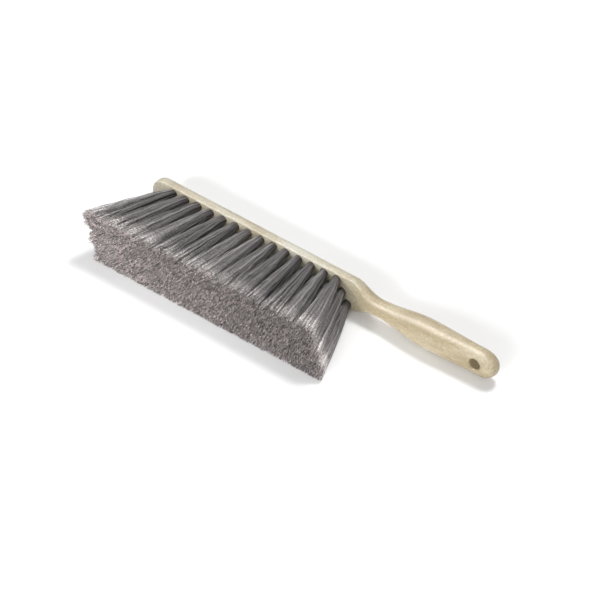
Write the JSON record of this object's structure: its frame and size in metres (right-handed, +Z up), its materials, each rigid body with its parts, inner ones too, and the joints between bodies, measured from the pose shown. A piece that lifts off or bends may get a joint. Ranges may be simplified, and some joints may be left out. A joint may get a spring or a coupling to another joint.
{
  "type": "counter duster",
  "caption": "Hand brush with a long moulded block and handle in one piece, rounded back, hanging hole, and rows of flared crimped bristle tufts, lying on its side.",
  "frame": {"origin": "centre of the footprint of the brush lying on its side, on the floor", "axes": "+X along the brush towards the handle's end, -Y the way the bristles point, +Z up"},
  "size_m": [0.347, 0.093, 0.0438],
  "materials": {
    "foam_plastic": "cream moulded structural foam with a soft satin skin and faint flow marks",
    "crimped_bristle": "grey crimped synthetic filament, paler at the flagged tips"
  },
  "bodies": {
    "root": {"block_handle": "foam_plastic", "tuft_upper_01": "crimped_bristle", "tuft_upper_02": "crimped_bristle", "tuft_upper_03": "crimped_bristle", "tuft_upper_04": "crimped_bristle", "tuft_upper_05": "crimped_bristle", "tuft_upper_06": "crimped_bristle", "tuft_upper_07": "crimped_bristle", "tuft_upper_08": "crimped_bristle", "tuft_upper_09": "crimped_bristle", "tuft_upper_10": "crimped_bristle", "tuft_upper_11": "crimped_bristle", "tuft_upper_12": "crimped_bristle", "tuft_upper_13": "crimped_bristle", "tuft_upper_14": "crimped_bristle", "tuft_middle_01": "crimped_bristle", "tuft_middle_02": "crimped_bristle", "tuft_middle_03": "crimped_bristle", "tuft_middle_04": "crimped_bristle", "tuft_middle_05": "crimped_bristle", "tuft_middle_06": "crimped_bristle", "tuft_middle_07": "crimped_bristle", "tuft_middle_08": "crimped_bristle", "tuft_middle_09": "crimped_bristle", "tuft_middle_10": "crimped_bristle", "tuft_middle_11": "crimped_bristle", "tuft_middle_12": "crimped_bristle", "tuft_middle_13": "crimped_bristle", "tuft_middle_14": "crimped_bristle", "tuft_lower_01": "crimped_bristle", "tuft_lower_02": "crimped_bristle", "tuft_lower_03": "crimped_bristle", "tuft_lower_04": "crimped_bristle", "tuft_lower_05": "crimped_bristle", "tuft_lower_06": "crimped_bristle", "tuft_lower_07": "crimped_bristle", "tuft_lower_08": "crimped_bristle", "tuft_lower_09": "crimped_bristle", "tuft_lower_10": "crimped_bristle", "tuft_lower_11": "crimped_bristle", "tuft_lower_12": "crimped_bristle", "tuft_lower_13": "crimped_bristle", "tuft_lower_14": "crimped_bristle"}
  },
  "joints": []
}
